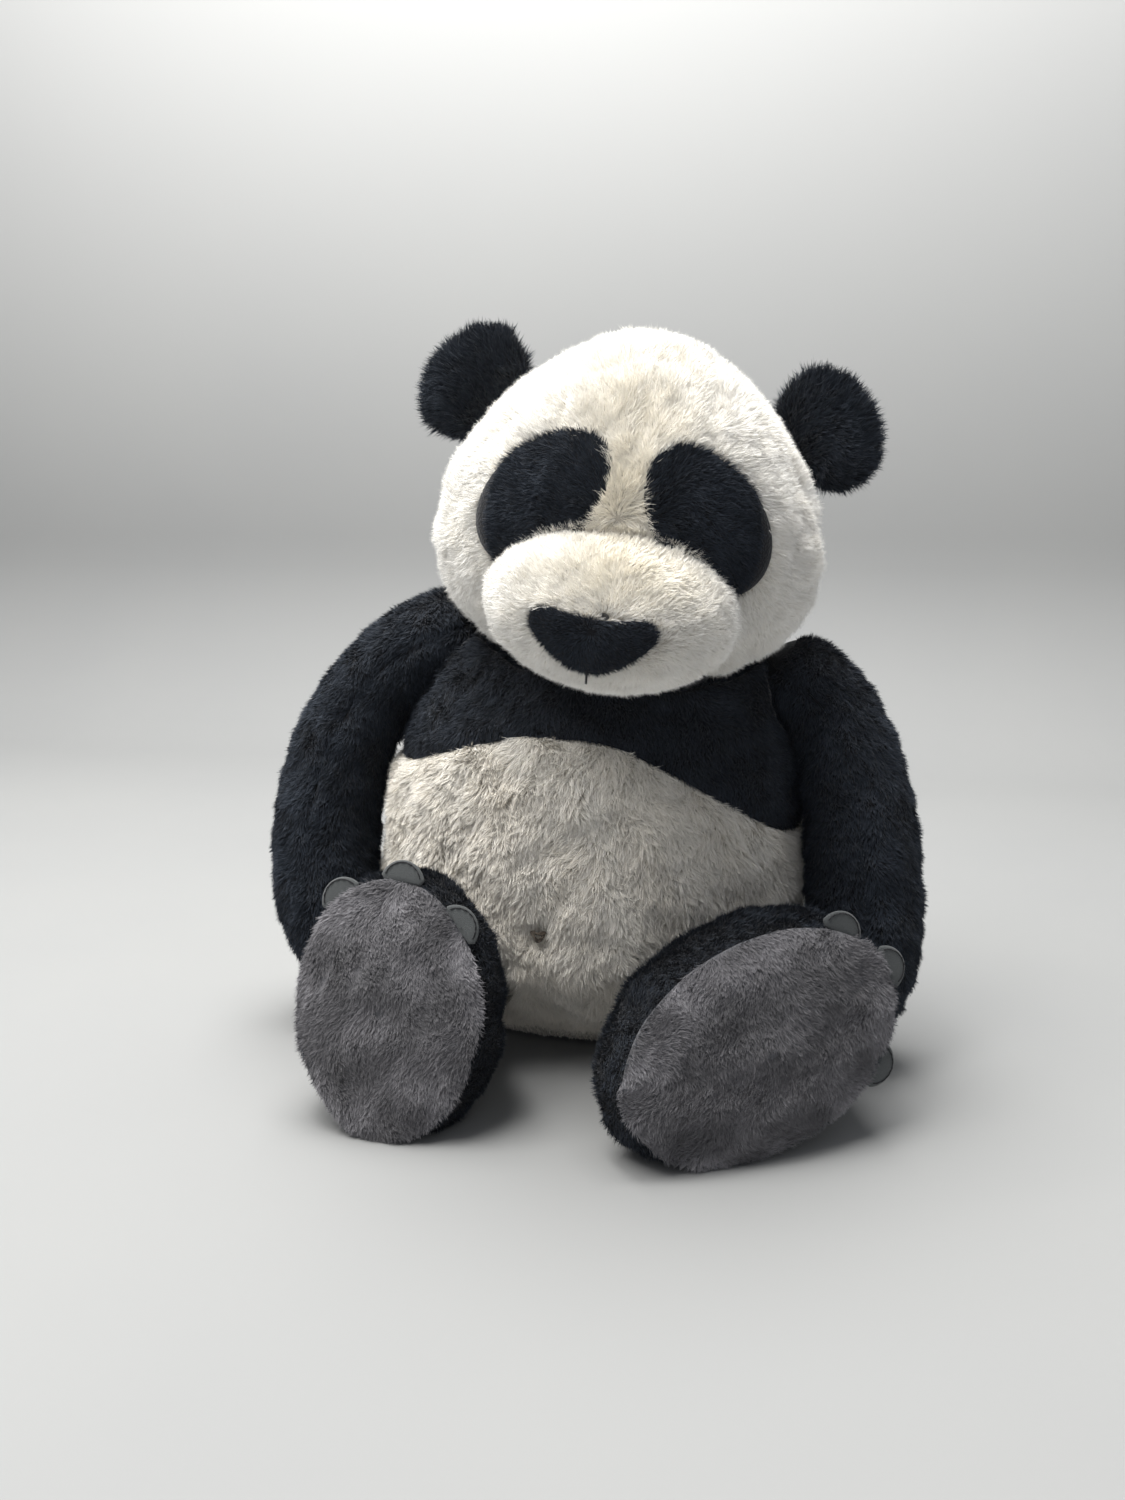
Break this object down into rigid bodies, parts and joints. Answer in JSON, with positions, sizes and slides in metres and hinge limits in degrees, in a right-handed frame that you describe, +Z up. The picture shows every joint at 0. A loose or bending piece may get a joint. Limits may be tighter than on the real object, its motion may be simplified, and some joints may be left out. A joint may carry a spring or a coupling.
{
  "type": "plush panda",
  "caption": "Seated plush panda with a round head, domed muzzle, black ears, eye patches, arms and legs, grey soles with felt toes, and limbs that flop at their seams.",
  "frame": {"origin": "middle of the bounding box on the surface that the panda sits on", "axes": "+Z up, the chest faces -Y, +X is the panda's own left-hand side as it sits"},
  "size_m": [0.4439, 0.3161, 0.4669],
  "materials": {
    "white_plush": "matte",
    "body_plush": "matte",
    "black_plush": "matte",
    "grey_plush": "matte",
    "toe_felt": "matte",
    "thread": "matte",
    "batting": "matte",
    "pellet_bag": "matte"
  },
  "bodies": {
    "torso": {"chest_panel": "black_plush", "belly_panel": "body_plush", "back_yoke": "black_plush", "back_panel": "body_plush", "seat_panel": "body_plush", "torso_stuffing": "batting", "seat_pellet_bag": "pellet_bag", "closing_stitches": "thread", "navel_stitch": "thread", "neck_stuffing": "batting"},
    "neck": {"neck_gusset": "black_plush"},
    "head": {"forehead_gusset": "white_plush", "cheek_left": "white_plush", "cheek_right": "white_plush", "head_back_left": "white_plush", "head_back_right": "white_plush", "head_stuffing": "batting", "eye_patch_left": "black_plush", "eye_patch_right": "black_plush", "muzzle_top": "white_plush", "muzzle_chin": "white_plush", "muzzle_stuffing": "batting", "nose": "black_plush", "mouth_stitch": "thread"},
    "ear_left": {"ear_left_front": "black_plush", "ear_left_back": "black_plush"},
    "ear_right": {"ear_right_front": "black_plush", "ear_right_back": "black_plush"},
    "shoulder_left": {"shoulder_left_gusset": "black_plush"},
    "arm_left": {"arm_left_outer": "black_plush", "arm_left_inner": "black_plush", "arm_left_stuffing": "batting"},
    "shoulder_right": {"shoulder_right_gusset": "black_plush"},
    "arm_right": {"arm_right_outer": "black_plush", "arm_right_inner": "black_plush", "arm_right_stuffing": "batting"},
    "hip_left": {"hip_left_gusset": "black_plush"},
    "leg_left": {"leg_left_upper": "black_plush", "leg_left_lower": "black_plush", "leg_left_sole": "grey_plush", "leg_left_stuffing": "batting", "leg_left_pellet_bag": "pellet_bag", "leg_left_toe_inner": "toe_felt", "leg_left_toe_middle": "toe_felt", "leg_left_toe_outer": "toe_felt"},
    "hip_right": {"hip_right_gusset": "black_plush"},
    "leg_right": {"leg_right_upper": "black_plush", "leg_right_lower": "black_plush", "leg_right_sole": "grey_plush", "leg_right_stuffing": "batting", "leg_right_pellet_bag": "pellet_bag", "leg_right_toe_inner": "toe_felt", "leg_right_toe_middle": "toe_felt", "leg_right_toe_outer": "toe_felt"}
  },
  "joints": [
    {"name": "head_turn", "type": "hinge", "parent": "torso", "child": "neck", "pos_m": [0.031, 0.0231, 0.268], "axis": [0, 0, 1], "range_deg": [-20, 20]},
    {"name": "head_nod", "type": "hinge", "parent": "neck", "child": "head", "pos_m": [0.031, 0.0231, 0.268], "axis": [-1, 0, 0], "range_deg": [0, 10]},
    {"name": "ear_left_fold", "type": "hinge", "parent": "head", "child": "ear_left", "pos_m": [-0.0578, 0.02825, 0.42135], "axis": [0.6794, 0.0594, 0.7314], "range_deg": [-25, 25]},
    {"name": "ear_right_fold", "type": "hinge", "parent": "head", "child": "ear_right", "pos_m": [0.1345, 0.04508, 0.39422], "axis": [0.4523, 0.0396, -0.891], "range_deg": [-25, 25]},
    {"name": "shoulder_left_swing", "type": "hinge", "parent": "torso", "child": "shoulder_left", "pos_m": [-0.098, 0.0461, 0.2725], "axis": [-1, 0, 0], "range_deg": [-18, 75]},
    {"name": "shoulder_left_lift", "type": "hinge", "parent": "shoulder_left", "child": "arm_left", "pos_m": [-0.098, 0.0461, 0.2725], "axis": [0, 1, 0], "range_deg": [0, 60]},
    {"name": "shoulder_right_swing", "type": "hinge", "parent": "torso", "child": "shoulder_right", "pos_m": [0.141, 0.0431, 0.244], "axis": [-1, 0, 0], "range_deg": [-18, 2]},
    {"name": "shoulder_right_lift", "type": "hinge", "parent": "shoulder_right", "child": "arm_right", "pos_m": [0.141, 0.0431, 0.244], "axis": [0, -1, 0], "range_deg": [0, 60]},
    {"name": "hip_left_splay", "type": "hinge", "parent": "torso", "child": "hip_left", "pos_m": [-0.075, -0.0449, 0.054], "axis": [0, 0, -1], "range_deg": [-3, 15]},
    {"name": "hip_left_raise", "type": "hinge", "parent": "hip_left", "child": "leg_left", "pos_m": [-0.075, -0.0449, 0.054], "axis": [-1, 0, 0], "range_deg": [0, 18]},
    {"name": "hip_right_splay", "type": "hinge", "parent": "torso", "child": "hip_right", "pos_m": [0.079, -0.0429, 0.052], "axis": [0, 0, 1], "range_deg": [-3, 8]},
    {"name": "hip_right_raise", "type": "hinge", "parent": "hip_right", "child": "leg_right", "pos_m": [0.079, -0.0429, 0.052], "axis": [-1, 0, 0], "range_deg": [0, 18]}
  ]
}
